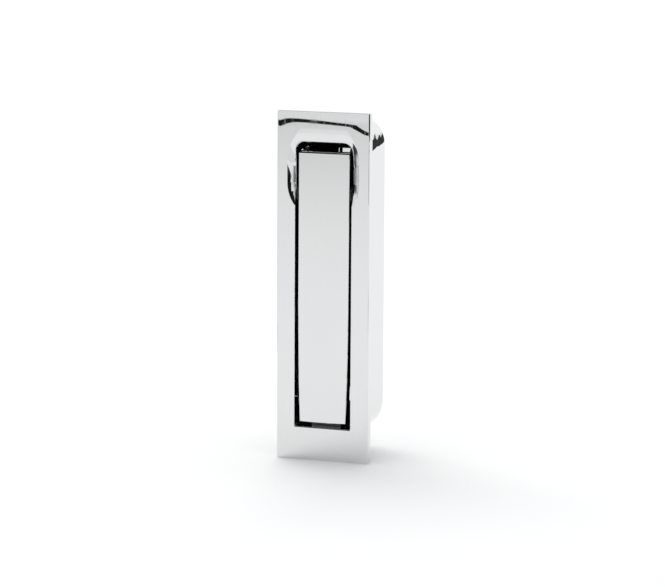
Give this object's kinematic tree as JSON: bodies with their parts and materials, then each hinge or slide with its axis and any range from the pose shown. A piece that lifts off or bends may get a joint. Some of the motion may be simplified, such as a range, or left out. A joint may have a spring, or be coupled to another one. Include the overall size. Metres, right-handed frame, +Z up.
{
  "type": "pocket door edge pull",
  "caption": "Flush edge pull for a pocket door: flat plate with a finger scoop, a lever that presses in at the top and swings out below, and a rounded housing behind.",
  "frame": {"origin": "middle of the face plate, on the plane of its back, which seats on the door's edge", "axes": "+X across the plate, +Y into the door, +Z up along the plate; the visible face looks along -Y"},
  "size_m": [0.025, 0.023, 0.091],
  "materials": {
    "plated_casting": "polished chrome plate",
    "plated_lever": "polished chrome plate",
    "steel_pin": "ground steel",
    "spring_wire": "drawn spring wire, lightly oiled"
  },
  "bodies": {
    "frame": {"housing": "plated_casting", "pivot_pin": "steel_pin", "torsion_spring": "spring_wire"},
    "pull": {"lever": "plated_lever"}
  },
  "joints": [
    {"name": "lever_swing", "type": "hinge", "parent": "frame", "child": "pull", "pos_m": [0, 0.00355, 0.024], "axis": [-1, 0, 0], "range_deg": [0, 80], "stiffness_Nm_per_rad": 0.03, "springref_deg": -34.38, "deforming": ["torsion_spring"]}
  ]
}
